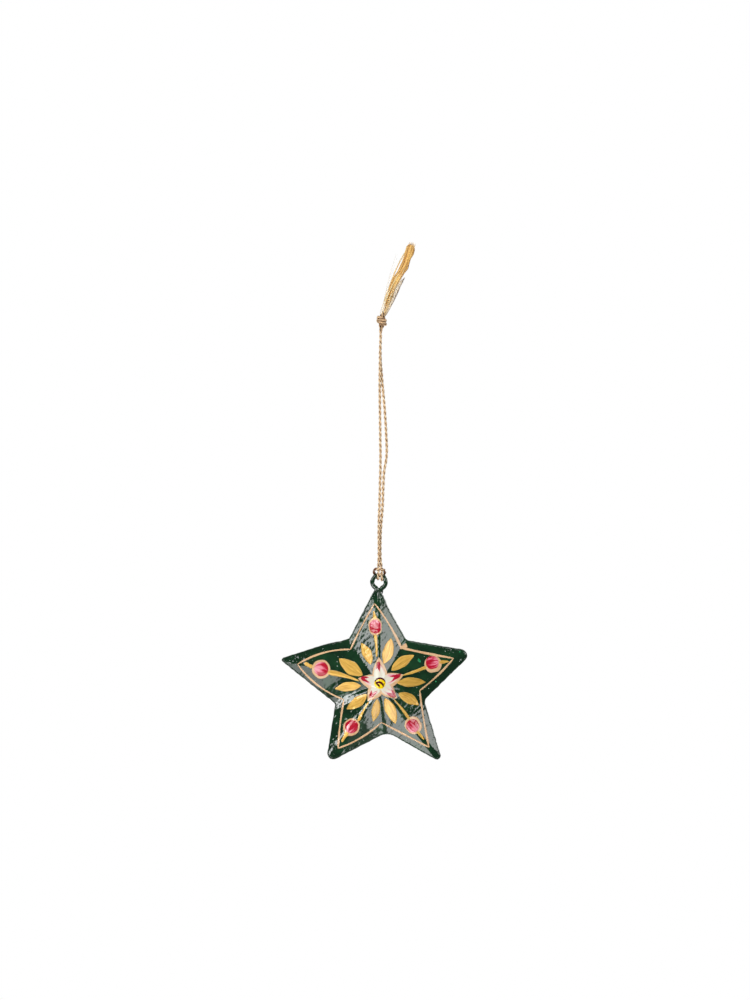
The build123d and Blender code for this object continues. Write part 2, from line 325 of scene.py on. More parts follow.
def new_finish(name):
    """An empty material: its node tree and its Principled shader."""
    finish = bpy.data.materials.new(name)
    finish.use_nodes = True
    return finish, finish.node_tree, finish.node_tree.nodes["Principled BSDF"]


COLOURS = {"data_type": "RGBA"}  # makes a Mix node mix colours
ENAMEL = "#0f2b19"
ENAMEL_THIN = "#1a4427"


def enamel_finish(name, relief, **coat):
    """Green enamel, brushed on thick: a hard gloss film over a dark pigment, paler in clouds 7 mm wide
    where it is thin, with orange peel of 1.1 mm and pimples 2.6 mm apart that break up what it
    mirrors. relief is their height in mm, and coat sets a clear coat over it."""
    finish, tree, shader = new_finish(name)
    place = add_node(tree, "TexCoord").outputs["Object"]
    cloud = add_node(tree, "TexNoise", Vector=place, Scale=1 / (7 * MM), Detail=4.0)
    thin = add_node(tree, "MapRange", Value=cloud.outputs["Fac"], From_Min=0.45, From_Max=0.80)
    tint = add_node(
        tree, "Mix", COLOURS, Factor=thin.outputs[0], i6=linear(ENAMEL), i7=linear(ENAMEL_THIN)
    )
    grit = add_node(tree, "TexVoronoi", Vector=place, Scale=1 / (2.6 * MM))
    pimple = add_node(
        tree, "MapRange", Value=grit.outputs["Distance"], From_Max=0.16, To_Min=1.0, To_Max=0.0
    )
    peel = add_node(tree, "TexNoise", Vector=place, Scale=1 / (1.1 * MM), Detail=2.0)
    height = add_node(
        tree, "Math", {"operation": "MULTIPLY_ADD"}, i0=pimple.outputs[0], i1=0.35, i2=peel.outputs["Fac"]
    )
    bump = add_node(tree, "Bump", Height=height.outputs[0], Distance=relief * MM, Strength=1.0)
    look = {"Base_Color": tint.outputs[2], "Normal": bump.outputs[0], "Roughness": 0.06, "IOR": 1.52}
    plug(tree, shader, **look, **coat)
    return finish


enamel = enamel_finish("green_enamel_brushed", 0.03)
new_piece("star_front", half_star(enamel_height, -1), enamel, "star", "front_shell")

BACK_DENTS = waves(21, 20, 5.0, 16.0, 0.025)
BACK_LUMPS = waves(23, 30, 1.8, 4.5, 0.030)


def back_height(x, z):
    """The pressed height plus dents and lumps of the plain back."""
    return pressed_height(x, z) + ripple(x, z, BACK_DENTS) + ripple(x, z, BACK_LUMPS)


new_piece("star_back", half_star(back_height, 1), enamel, "star", "back_shell")

# Rim: the bead of solder that joins the halves, painted over with the enamel. It is uneven, with
# blobs along the right side of the top arm where the iron was lifted.
BEAD = 0.45
BEAD_OVERLAP = 0.55  # how far the painted bead runs in over the facets
BEAD_PROUD = 0.10  # by which the bead stands over the height of the edge
BEAD_SIDES = 20
EDGE_BLOBS = [
    # x, z, spread, height
    (1.2, 38.0, 0.495, 0.25),
    (2.1, 36.0, 0.495, 0.25),
    (3.6, 32.4, 0.495, 0.35),
    (5.0, 30.0, 0.495, 0.25),
    (-13.5, 19.0, 0.495, 0.20),
]
RIM_LUMPS = waves(31, 40, 0.9, 5.0, 0.11)


def full_turn(count):
    """Evenly spaced angles once round."""
    return np.linspace(0, 2 * np.pi, count, endpoint=False)


def squared_off(wave, power):
    """A sine or cosine raised to a power below 1 with its sign kept, which squares off a section."""
    return np.sign(wave) * np.abs(wave) ** power


rim_tangent = np.roll(star_edge, -1, 0) - np.roll(star_edge, 1, 0)
rim_out = unit(np.stack([rim_tangent[:, 1], -rim_tangent[:, 0]], -1))
rim_swell = (ripple(*star_edge.T, RIM_LUMPS) + bells(*star_edge.T, EDGE_BLOBS))[:, None]
bead_turn = full_turn(BEAD_SIDES)
bead_out = np.cos(bead_turn) * np.where(np.cos(bead_turn) > 0, BEAD + rim_swell, BEAD_OVERLAP)
bead_plan = star_edge[:, None] + rim_out[:, None] * bead_out[..., None]
bead_depth = squared_off(np.sin(bead_turn), 0.75) * (pressed_height(*star_edge.T)[:, None] + BEAD_PROUD)
bead_grid = np.stack([bead_plan[..., 0], -bead_depth, STAR_Z + bead_plan[..., 1]], -1)
bead = closed_tubes(bead_grid[None, :, ::-1])
new_piece("rim_bead", bead, enamel, "star", "rim_solder")

# Eye: one bent wire, painted with the star, whose legs stand in the blunt tip of the top arm.
# The loop is drawn in to a teardrop where it meets its legs, and paint fills the fork.
EYE_X = -0.25
EYE_Z = -110.0
EYE_R = 2.9
NECK_R = 1.3
LEG_X = 0.88
LEG_FOOT = -7.0  # below the middle of the eye
LEG_CLOSE = 0.45  # by which each leg closes in at its foot
LEG_LEAN = 0.10  # of the legs to the left, for each mm down
LEG_ROWS = 12
NECK_ROWS = 8
LOOP_ROWS = 72
PAINTED_WIRE_R = 0.99
WIRE_LUMPS = waves(41, 14, 2.5, 8.0, 0.03)
WIRE_SIDES = 24


def arc(centre_x, centre_z, radius, start, end, count):
    """Points of an arc in the plane of the star."""
    turn = np.linspace(start, end, count)
    return np.stack([centre_x + radius * np.cos(turn), centre_z + radius * np.sin(turn)], -1)


neck_x = LEG_X + NECK_R
neck_drop = np.sqrt((EYE_R + NECK_R) ** 2 - neck_x**2)
open_turn = np.arctan2(neck_drop, neck_x)
leg_rise = np.linspace(LEG_FOOT, -neck_drop, LEG_ROWS, endpoint=False)
left_leg = np.stack([np.linspace(LEG_CLOSE, 0, LEG_ROWS) - LEG_X, leg_rise], -1)
left_neck = arc(-neck_x, -neck_drop, NECK_R, 0, open_turn, NECK_ROWS)
loop = arc(0, 0, EYE_R, np.pi + open_turn, -open_turn, LOOP_ROWS)[1:]
half_wire = np.vstack([left_leg, left_neck, loop])
wire_line = np.vstack([half_wire, (left_neck * (-1, 1))[::-1][1:], (left_leg * (-1, 1))[::-1]])
lean = LEG_LEAN * (wire_line[:, 1] + neck_drop).clip(None, 0)
wire_path = np.stack([EYE_X + lean + wire_line[:, 0], 0 * lean, EYE_Z + wire_line[:, 1]], -1)


def carried_frame(path):
    """Normal and cross vectors along a path, with each normal carried on from the one before by
    taking out its part along the next tangent, so that the frame doesn't twist."""
    tangent = unit(np.gradient(path, axis=0))
    normal = np.cross(tangent[0], (0.0, 1.0, 0.2))
    normals = []
    for forward in tangent:
        normal = unit(normal - forward * (normal @ forward))
        normals.append(normal)
    normals = np.array(normals)
    return normals, np.cross(tangent, normals)


def round_tube(path, radius, sides):
    """Grid of a round tube: at each point of the path a circle of its radius, square to the path."""
    normal, cross = carried_frame(path)
    turn = full_turn(sides)[None, :, None]
    ring = normal[:, None] * np.cos(turn) + cross[:, None] * np.sin(turn)
    return path[:, None] + ring * radius[:, None, None]


# The wire has a second, clear coat, which gives it brighter streaks of light
wire_enamel = enamel_finish(
    "green_enamel_on_wire", 0.006, Coat_Weight=0.4, Coat_IOR=1.6, Coat_Roughness=0.05
)
wire_r = PAINTED_WIRE_R + ripple(wire_line[:, 0], 2 * wire_line[:, 1], WIRE_LUMPS)
wire = closed_tubes(round_tube(wire_path, wire_r, WIRE_SIDES)[None], wire_path[[0, -1]][None])
new_piece("eye_wire", wire, wire_enamel, "star", "wire_eye")

# Solder collar: the mound of solder that holds the legs of the eye in the blunt tip of the top arm.
# It was run in hot and set round the wire in a lump, and the enamel covers it.
COLLAR_X = -0.85
COLLAR_FOOT = STAR_Z + TIP_Z - 2.2
COLLAR_TOP = STAR_Z + TIP_Z + 1.75
COLLAR_SHOULDER = 0.55  # share of its height at which the collar begins to round over
COLLAR_LUMPS = waves(47, 12, 1.5, 5.0, 0.12)
COLLAR_ROWS = 26
COLLAR_SIDES = 40
collar_rise = np.linspace(0, 1, COLLAR_ROWS)[:, None]
collar_over = ((collar_rise - COLLAR_SHOULDER) / (1 - COLLAR_SHOULDER)).clip(0)
collar_round = np.sqrt(np.clip(1 - collar_over**2.2, 0.0, 1))
collar_wide = (1.62 - 0.15 * collar_rise**0.8) * collar_round
collar_deep = (1.75 - 0.70 * collar_rise**0.7) * collar_round
oval_x = squared_off(np.cos(full_turn(COLLAR_SIDES)), 0.8)
oval_y = squared_off(np.sin(full_turn(COLLAR_SIDES)), 0.8)
collar_lump = 1 + ripple(3 * oval_x, 4 * collar_rise + 2 * oval_y, COLLAR_LUMPS)
collar_z = COLLAR_FOOT + (COLLAR_TOP - COLLAR_FOOT) * collar_rise + 0 * collar_lump
collar_grid = np.stack(
    [COLLAR_X + collar_wide * oval_x * collar_lump, collar_deep * oval_y * collar_lump, collar_z], -1
)
collar_ends = np.array([[[COLLAR_X, 0, COLLAR_FOOT], [COLLAR_X, 0, COLLAR_TOP]]])
collar = closed_tubes(collar_grid[None, :-1], collar_ends)
new_piece("eye_collar", collar, enamel, "star", "eye_solder")

# Painted border: a thin beige line, brushed in ten strokes parallel to the edge of the front, with a
# blot where the last stroke ends. Like all the decoration it is flat drops of paint on the enamel.
VIEW_RISE = 0.066  # slope of the view, which looks down on the star a little
PAINT_SUNK = 0.09  # depth of a drop's underside in the coat below it


def paint_strokes(name, finish, spines, half_widths, lift, base=0.0, columns=16, shift=0.0):
    """A piece of paint drops on the star, as tubes. spines (stroke, row, 2) are centre lines in the
    star's plane, in mm. A point lies half width * cos(turn) beside its line. Its height is the
    enamel's there, plus base, plus lift * sin(turn)^0.6 on top. Lines are given as they look from a
    little above, so each point moves up by VIEW_RISE of its height. Local holds the share along the
    stroke, moved by shift, the place across it and the number of the stroke."""
    spines = spines + (0, VIEW_RISE) * enamel_height(*np.moveaxis(spines, -1, 0))[..., None]
    forward = unit(np.gradient(spines, axis=1))
    across = np.stack([-forward[..., 1], forward[..., 0]], -1)
    turn = full_turn(columns)
    beside = squared_off(np.cos(turn), 0.8)
    top = np.where(np.sin(turn) > 0, lift * np.abs(np.sin(turn)) ** 0.6, -PAINT_SUNK)
    plan = spines[:, :, None] + (half_widths[..., None] * beside)[..., None] * across[:, :, None]
    up = enamel_height(plan[..., 0], plan[..., 1]) + base + top
    grid = np.stack([plan[..., 0], -up, STAR_Z + plan[..., 1]], -1)
    ends = spines[:, [0, -1]]
    ends_up = enamel_height(ends[..., 0], ends[..., 1]) + base
    ends = np.stack([ends[..., 0], -ends_up, STAR_Z + ends[..., 1]], -1)
    strokes, rows = spines.shape[:2]
    number = np.arange(strokes)
    shift = np.broadcast_to(shift, strokes)
    along = np.linspace(0, 1, rows)[:, None] + shift[:, None, None] + 0 * up
    local = np.stack([along, beside + 0 * up, number[:, None, None] + 0 * up], -1).reshape(-1, 3)
    end_along = np.tile([0.0, 1.0], strokes) + np.repeat(shift, 2)
    end_local = np.stack([end_along, np.zeros(2 * strokes), np.repeat(number, 2)], -1)
    surface = (*closed_tubes(grid, ends), np.vstack([local, end_local]))
    new_piece(name, surface, finish, "star")


def bowed_lines(starts, ends, share, bows=0.0):
    """Lines from start to end, each bowed to its left by 4 * bow * share * (1 - share)."""
    starts, chord = np.array(starts, float), np.subtract(ends, starts)
    share = share[None, :, None]
    left = unit(np.stack([-chord[:, 1], chord[:, 0]], -1))
    bow = np.broadcast_to(bows, len(starts))[:, None, None]
    return starts[:, None] + chord[:, None] * share + left[:, None] * bow * 4 * share * (1 - share)


def round_ended(share, power, least):
    """Form of a stroke with round ends: the root of 1 - |2 * share - 1|^power, or of least."""
    return np.sqrt(np.clip(1 - np.abs(2 * share - 1) ** power, least, 1))


def unsteady(share, strokes, swing, rate, step):
    """A hand's unsteady pressure: 1 + swing * sin(rate * share + step * number of the stroke)."""
    return 1 + swing * np.sin(rate * share + step * np.arange(strokes)[:, None])


def local_finish(name):
    """An empty material, as new_finish gives it, and the local vector of the piece that has it."""
    finish, tree, shader = new_finish(name)
    local = add_node(tree, "Attribute", {"attribute_name": "local"}).outputs["Vector"]
    return finish, tree, shader, local


def brush_finish(name, dark, light, roughness, streak_mm, bronze=0.0, **more):
    """Brushed artists' paint under varnish: two tones of one colour in streaks along the stroke.
    bronze is the share of metal powder in it, which gives a coloured sheen below the varnish."""
    finish, tree, shader, local = local_finish(name)
    stretched = add_node(
        tree, "VectorMath", {"operation": "MULTIPLY"}, i0=local, i1=(2.0, 3.0 / streak_mm, 7.3)
    )
    streak = add_node(
        tree, "TexNoise", Vector=stretched.outputs[0], Scale=1.0, Detail=5.0, Roughness=0.65
    )
    tone = add_node(tree, "MapRange", Value=streak.outputs["Fac"], From_Min=0.32, From_Max=0.68)
    tint = add_node(tree, "Mix", COLOURS, Factor=tone.outputs[0], i6=linear(dark), i7=linear(light))
    bump = add_node(tree, "Bump", Height=streak.outputs["Fac"], Distance=0.04 * MM, Strength=0.5)
    look = {"Base_Color": tint.outputs[2], "Normal": bump.outputs[0], "Roughness": roughness}
    varnish = {"Coat_Weight": 1.4 * bronze, "Coat_Roughness": 0.12, "Coat_IOR": 1.6}
    plug(tree, shader, Metallic=bronze, **look, **varnish, **more)
    return finish


BORDER = [
    # x, z, bow of the stroke to the next corner, half width here
    (-2.2, 35.0, -0.3, 0.28),
    (-12.6, 15.2, -1.75, 0.36),
    (-35.4, 8.8, -1.9, 0.40),
    (-15.4, -6.4, -0.35, 0.36),
    (-17.9, -27.4, -1.15, 0.40),
    (0.75, -16.25, 0.0, 0.36),
    (21.3, -27.0, 0.3, 0.42),
    (17.3, -2.5, -0.6, 0.36),
    (31.9, 11.4, 0.2, 0.42),
    (9.3, 15.9, -0.75, 0.56),
]
BLOT_START = (8.8, 15.5)
BLOT_END = (11.8, 17.1)
beige = brush_finish("beige_paint_varnished", "#cf9f6f", "#e3bf98", roughness=0.22, streak_mm=1.0)
border = np.array(BORDER)
border_next = np.roll(border, -1, 0)
border_share = np.linspace(0, 1, 60)
border_half = border[:, 3, None] * (1 - border_share) + border_next[:, 3, None] * border_share
border_half = border_half * unsteady(border_share, len(border), swing=0.16, rate=9, step=2.1)
# Each stroke is thin where the brush comes down and where it lifts
border_half = border_half * np.clip(6 * np.minimum(border_share + 0.08, 1.08 - border_share), 0.4, 1)
blot_half = (0.45 + 0.65 * border_share) * round_ended(border_share, power=8, least=0.02)
border_half = np.vstack([border_half, blot_half])
border_lines = np.vstack(
    [
        bowed_lines(border[:, :2], border_next[:, :2], border_share, border[:, 2]),
        bowed_lines([BLOT_START], [BLOT_END], border_share, 0.1),
    ]
)
paint_strokes("painted_border", beige, border_lines, border_half, lift=0.10)

# Gold leaves, stems and tips: one loaded brush stroke each, in a yellow ochre that dries in streaks.
# A stem runs up the middle of each arm to its bud, and a short tip stands above the bud.
LEAVES = [
    # base x, z, tip x, z, width, bow
    (-3.8, 8.7, -8.1, 18.0, 4.1, -0.5),
    (1.8, 9.0, 4.9, 20.1, 4.6, -0.4),
    (5.1, 6.1, 14.9, 12.7, 4.3, 0.5),
    (7.4, 0.8, 19.8, 1.1, 4.1, 0.2),
    (8.1, -3.8, 16.9, -8.8, 4.3, 0.4),
    (2.2, -5.8, 6.8, -16.9, 4.6, 0.4),
    (-1.0, -6.1, -2.8, -15.9, 3.6, 0.3),
    (-5.5, -4.1, -14.3, -10.4, 4.3, 0.4),
    (-8.0, -0.5, -19.3, -1.8, 4.1, -0.3),
    (-7.3, 4.1, -17.5, 11.3, 5.5, 0.3),
]
gold = brush_finish(
    "gold_ochre_paint_varnished", "#b98526", "#efc25a", roughness=0.38, streak_mm=0.7, bronze=0.30
)
leaves = np.array(LEAVES)
leaf_share = np.linspace(0, 1, 40)
leaf_lines = bowed_lines(leaves[:, 0:2], leaves[:, 2:4], leaf_share, leaves[:, 5])
leaf_half = leaves[:, 4, None] / 2 * np.sin(np.pi * leaf_share**0.92) ** 0.85 + 0.03
leaf_half = leaf_half * unsteady(leaf_share, len(leaves), swing=0.04, rate=14, step=3)
paint_strokes("painted_leaves", gold, leaf_lines, leaf_half, lift=0.12, columns=24)

STEMS = [
    # start x, z, end x, z, half width at the start and at the end, bow
    (-1.3, 11.8, -1.95, 21.8, 0.32, 0.75, -0.2),
    (-8.8, 1.6, -22.4, 5.4, 0.35, 1.30, -0.45),
    (9.8, 4.0, 20.3, 7.7, 0.30, 0.85, -0.2),
    (-4.6, -7.3, -9.2, -15.6, 0.30, 0.70, -0.2),
    (5.9, -6.0, 13.2, -15.3, 0.25, 0.75, 0.2),
    (-1.9, 28.2, -2.5, 31.8, 0.95, 0.30, 0.1),
    (-29.0, 7.6, -32.4, 9.5, 0.90, 0.65, 0.1),
    (25.6, 9.4, 29.9, 9.9, 0.95, 0.30, 0.25),
    (-13.6, -20.4, -16.3, -24.7, 1.15, 0.40, -0.2),
    (16.0, -20.0, 19.2, -23.7, 0.75, 0.30, 0.1),
]
stems = np.array(STEMS)
stem_share = np.linspace(0, 1, 40)
stem_lines = bowed_lines(stems[:, 0:2], stems[:, 2:4], stem_share, stems[:, 6])
stem_half = stems[:, 4, None] * (1 - stem_share) + stems[:, 5, None] * stem_share
stem_half = stem_half * unsteady(stem_share, len(stems), swing=0.10, rate=8, step=2.4)
stem_half = stem_half * round_ended(stem_share, power=9, least=0.02)
paint_strokes("painted_stems", gold, stem_lines, stem_half, lift=0.13, columns=20)

# Buds: a round dab of beige on each arm, with a smaller pink dab on it, streaked crimson from the
# side of the stem while the pink was wet.
BUDS = [
    # x, z, half length, half width, heading of the outer end in degrees, shift of the pink dab x, z,
    # share of its length by which the crimson falls short, beige left on each side of the pink
    (-1.9, 25.1, 3.95, 2.95, 93.0, 0.05, -0.10, -0.28, 0.42),
    (-25.2, 6.6, 4.0, 4.05, 163.0, 0.10, 0.10, 0.05, 0.95),
    (23.0, 8.75, 3.75, 3.55, 12.0, -0.35, 0.75, -0.12, 0.75),
    (-12.1, -18.3, 3.9, 3.50, 238.0, 0.05, 0.25, -0.42, 0.70),
    (14.5, -17.5, 3.9, 3.55, 308.0, -0.25, -0.20, -0.05, 0.75),
]
BEIGE_ENDS = 0.95  # beige left beyond each end of the pink
buds = np.array(BUDS)
bud_heading = np.radians(buds[:, 4])
bud_axis = np.stack([np.cos(bud_heading), np.sin(bud_heading)], -1)
bud_share = np.linspace(0, 1, 44)
bud_form = round_ended(bud_share, power=2.2, least=0.0004)
bud_form = bud_form * unsteady(bud_share, len(buds), swing=0.03, rate=11, step=2.7)


def dabs(middle, half_length, half_width):
    """Spines and half widths of round dabs about these middles, along the buds' headings."""
    reach = bud_axis * half_length[:, None]
    return bowed_lines(middle - reach, middle + reach, bud_share), half_width[:, None] * bud_form


bud_lines, bud_half = dabs(buds[:, :2], buds[:, 2], buds[:, 3])
paint_strokes("painted_bud_rims", beige, bud_lines, bud_half, lift=0.12, columns=28)


def streaked_finish(name, stops, amounts, streak):
    """Wet-in-wet paint, glossy under varnish: streaks along the stroke, more of them where the amount
    is high. amounts are its levels at the start, the middle and the end of a stroke."""
    finish, tree, shader, local = local_finish(name)
    along = add_node(tree, "SeparateXYZ", Vector=local).outputs[0]
    stretched = add_node(tree, "VectorMath", {"operation": "MULTIPLY"}, i0=local, i1=(1.3, streak, 9.7))
    noise = add_node(
        tree, "TexNoise", Vector=stretched.outputs[0], Scale=1.0, Detail=3.0, Roughness=0.55
    )
    wave = add_node(
        tree, "MapRange", Value=noise.outputs["Fac"], From_Min=0.32, From_Max=0.68,
        To_Min=-0.48, To_Max=0.48,
    )
    start, middle, end = amounts
    early = add_node(tree, "MapRange", Value=along, From_Max=0.5, To_Min=start, To_Max=middle)
    late = add_node(tree, "MapRange", Value=along, From_Min=0.5, To_Max=end - middle)
    amount = add_node(tree, "Math", {"operation": "ADD"}, i0=early.outputs[0], i1=late.outputs[0])
    level = add_node(tree, "Math", {"operation": "ADD"}, i0=amount.outputs[0], i1=wave.outputs[0])
    ramp = add_node(tree, "ValToRGB", Fac=level.outputs[0])
    while len(ramp.color_ramp.elements) < len(stops):
        ramp.color_ramp.elements.new(1.0)
    for element, (position, colour) in zip(ramp.color_ramp.elements, stops):
        element.position = position
        element.color = linear(colour)
    bump = add_node(tree, "Bump", Height=noise.outputs["Fac"], Distance=0.05 * MM, Strength=0.5)
    plug(tree, shader, Base_Color=ramp.outputs[0], Normal=bump.outputs[0], Roughness=0.14)
    return finish


pink = streaked_finish(
    "pink_and_crimson_paint_varnished",
    [(0.10, "#e89fab"), (0.40, "#db7084"), (0.58, "#c84059"), (0.72, "#b0122c")],
    amounts=(0.95, 0.55, 0.20), streak=3.0,
)
pink_lines, pink_half = dabs(buds[:, :2] + buds[:, 5:7], buds[:, 2] - BEIGE_ENDS, buds[:, 3] - buds[:, 8])
paint_strokes(
    "painted_buds", pink, pink_lines, pink_half, lift=0.12, base=0.10, columns=28, shift=buds[:, 7]
)

# Flower: five cream petals over beige ones, crimson streaks drawn in from the tips, and a yellow
# heart with a curl of maroon over the peak of the star.
PETALS = [
    # beige tip x, z, cream tip x, z, half width of the beige petal and of the cream one
    (-0.3, 11.9, -0.5, 10.1, 3.15, 2.45),
    (10.3, 4.3, 9.0, 4.4, 3.05, 2.25),
    (7.5, -5.9, 7.0, -5.3, 2.85, 2.25),
    (-5.1, -7.0, -4.3, -5.7, 3.20, 2.10),
    (-9.3, 2.7, -8.4, 2.8, 3.05, 2.15),
]
FLOWER = np.array([0.1, 0.6])
BEIGE_SHIFT = (0.15, -0.35)  # of the roots of the beige petals
PETAL_WIDEST = 0.42  # share of the length from which a petal narrows to its tip
petals = np.array(PETALS)
petal_share = np.linspace(0, 1, 44)
petal_tip = (petal_share - PETAL_WIDEST).clip(0) / (1 - PETAL_WIDEST)
petal_form = np.clip(1 - petal_tip**1.5, 0.012, 1) * np.clip(0.35 + 1.9 * petal_share, 0, 1)
petal_roots = np.broadcast_to(FLOWER, (len(petals), 2))
beige_lines = bowed_lines(petal_roots + BEIGE_SHIFT, petals[:, 0:2], petal_share)
beige_half = petals[:, 4, None] * petal_form
paint_strokes("painted_petal_rims", beige, beige_lines, beige_half, lift=0.12, columns=28)
cream = streaked_finish(
    "cream_and_crimson_paint_varnished",
    [(0.30, "#dcd8c6"), (0.50, "#e4c6bd"), (0.66, "#df93a2"), (0.85, "#c43a58")],
    amounts=(-0.40, 0.28, 0.75), streak=3.0,
)
cream_lines = bowed_lines(petal_roots, petals[:, 2:4], petal_share)
cream_half = petals[:, 5, None] * petal_form
paint_strokes("painted_petals", cream, cream_lines, cream_half, lift=0.13, base=0.10, columns=28)

PETAL_STROKES = [
    # x, z at the tip, x, z at the inner end, half width, bow of the crimson stroke
    (-0.50, 9.95, 0.05, 5.7, 0.85, -0.15),
    (-0.70, 9.70, -1.65, 6.5, 0.46, 0.30),
    (9.2, 4.55, 4.0, 3.35, 0.56, 0.20),
    (8.9, 4.00, 4.9, 1.20, 0.62, -0.20),
    (8.6, 4.20, 5.6, 2.60, 0.42, 0.00),
    (6.9, -5.15, 2.8, -3.2, 0.80, 0.20),
    (6.6, -4.90, 4.8, -1.9, 0.52, -0.20),
    (-4.2, -5.65, -3.55, -2.3, 0.60, -0.15),
    (-3.6, -5.40, -1.0, -2.5, 0.56, 0.15),
    (-8.0, 3.10, -4.5, 3.0, 0.55, 0.10),
    (-7.9, 2.85, -4.2, 1.0, 0.60, -0.10),
]
crimson = streaked_finish(
    "crimson_paint_varnished",
    [(0.10, "#e6aab0"), (0.35, "#d2506c"), (0.55, "#bd1f3f"), (0.80, "#a80f2b")],
    amounts=(1.25, 1.00, 0.40), streak=2.6,
)
streaks = np.array(PETAL_STROKES)
stroke_share = np.linspace(0, 1, 30)
stroke_lines = bowed_lines(streaks[:, 0:2], streaks[:, 2:4], stroke_share, streaks[:, 5])
stroke_half = streaks[:, 4, None] * np.clip(np.sin(np.pi * stroke_share**0.62), 0.03, 1) ** 0.9
paint_strokes(
    "painted_petal_strokes", crimson, stroke_lines, stroke_half, lift=0.05, base=0.25, columns=12
)

HEART_R = 2.45
yellow = brush_finish("yellow_paint_varnished", "#ecc400", "#fadc14", roughness=0.18, streak_mm=1.4)
heart_share = np.linspace(0, 1, 36)
heart_line = bowed_lines([FLOWER - (HEART_R, 0)], [FLOWER + (HEART_R, 0)], heart_share)
heart_half = HEART_R * round_ended(heart_share, power=2, least=0.001)[None]
paint_strokes("painted_heart", yellow, heart_line, heart_half, lift=0.12, base=0.20, columns=28)

CURLS = [
    # centre x, z, radius across and upright, first and last angle in degrees, half width
    (0.15, 0.50, 2.30, 2.25, 160.0, 12.0, 0.38),
    (-0.50, -0.90, 2.10, 2.00, 126.0, 0.0, 0.50),
    (-2.40, -1.60, 2.44, 2.35, 75.0, 12.0, 0.42),
    (1.75, 0.40, 0.16, 0.16, 90.0, -90.0, 0.26),
    (-0.55, 21.5, 0.16, 0.16, 90.0, -90.0, 0.30),
]
# The maroon dried without gloss and looks almost black
maroon = brush_finish(
    "maroon_paint_dry", "#36040e", "#5e0c1c", roughness=0.60, streak_mm=1.0, Specular_IOR_Level=0.1
)
curl_share = np.linspace(0, 1, 30)
curl_lines = np.array(
    [
        arc(0, 0, 1, np.radians(first), np.radians(last), len(curl_share)) * (wide, high) + (x, z)
        for x, z, wide, high, first, last, _ in CURLS
    ]
)
curl_half = np.array(CURLS)[:, 6, None] * (0.45 + 0.55 * np.sin(np.pi * curl_share))
paint_strokes("painted_curls", maroon, curl_lines, curl_half, lift=0.08, base=0.30, columns=12)

# Grit: dust and drops that dried in the enamel as hard pimples, thickest where the brush was wiped.
# The painter's strokes cover it, so it keeps off them.
GRIT_HEAPS = [
    # x, z, spread
    (13.5, -10.8, 2.2),
    (-39.0, 9.6, 2.5),
    (-30.0, -0.5, 3.0),
    (31.0, 15.5, 3.0),
    (-21.0, -25.5, 2.5),
]
GRAINS = 320
HEAP_GRAINS = 16
GRAIN_R = 0.15
EDGE_ROOM = 1.0  # least distance of a grain from the edge of the facets
STROKE_ROOM = 0.25  # and from a stroke
grit_draw = np.random.default_rng(17)
grit_share = np.sqrt(grit_draw.uniform(0.02, 0.95, GRAINS))[:, None]
grit_places = star_edge[grit_draw.integers(0, EDGE_POINTS, GRAINS)] * grit_share
for heap_x, heap_z, heap_spread in GRIT_HEAPS:
    heap = np.array([heap_x, heap_z]) + grit_draw.normal(0, heap_spread / 2, (HEAP_GRAINS, 2))
    grit_places = np.vstack([grit_places, heap])
grit_room = facet_reach(np.arctan2(grit_places[:, 1], grit_places[:, 0])) - np.hypot(*grit_places.T)
decoration = (
    (border_lines, border_half), (leaf_lines, leaf_half), (stem_lines, stem_half),
    (bud_lines, bud_half), (beige_lines, beige_half),
)
for lines, half in decoration:
    off_line = np.linalg.norm(lines[:, :, None] - grit_places, axis=-1) - half[..., None]
    grit_room = np.minimum(grit_room, EDGE_ROOM - STROKE_ROOM + off_line.min((0, 1)))
grit_places = grit_places[grit_room > EDGE_ROOM]
grit_r = np.exp(grit_draw.normal(np.log(GRAIN_R), 0.35, len(grit_places)))[:, None]
grain_share = np.linspace(0, 1, 8)
grain_half = grit_r * round_ended(grain_share, power=2, least=0.02)
grain_lift = 0.7 * grain_half[..., None]
grain_lines = bowed_lines(grit_places - grit_r * (1, 0), grit_places + grit_r * (1, 0), grain_share)

# Some grains are pale grey, painted highlights for the glints of the grit; the others are under the green
# film, and each has a small glint
glint_grit, tree, shader, local = local_finish("enamel_grit_painted_glints")
number = add_node(tree, "SeparateXYZ", Vector=local).outputs[2]
chance = add_node(tree, "TexWhiteNoise", {"noise_dimensions": "1D"}, W=number)
painted_glint_grains = add_node(tree, "MapRange", Value=chance.outputs["Value"], From_Min=0.55, From_Max=0.75)
tint = add_node(tree, "Mix", COLOURS, Factor=painted_glint_grains.outputs[0], i6=linear(ENAMEL), i7=linear("#a3afa6"))
plug(tree, shader, Base_Color=tint.outputs[2], Roughness=0.12)
paint_strokes("enamel_grit", glint_grit, grain_lines, grain_half, grain_lift, columns=10)

DROPS = [
    # start x, z, end x, z and half width of a drop of fresher, brighter green
    (16.6, 11.2, 17.6, 9.6, 0.55),
    (34.4, 14.4, 34.8, 14.0, 0.35),
    (24.1, 1.7, 24.5, 1.1, 0.30),
]
fresh_green = brush_finish("green_enamel_fresh_drop", "#0b6a3c", "#1c8f58", roughness=0.15, streak_mm=1.0)
drops = np.array(DROPS)
drop_share = np.linspace(0, 1, 12)
drop_lines = bowed_lines(drops[:, 0:2], drops[:, 2:4], drop_share)
drop_half = drops[:, 4, None] * round_ended(drop_share, power=2, least=0.03)
paint_strokes("enamel_drops", fresh_green, drop_lines, drop_half, lift=0.10, columns=12)

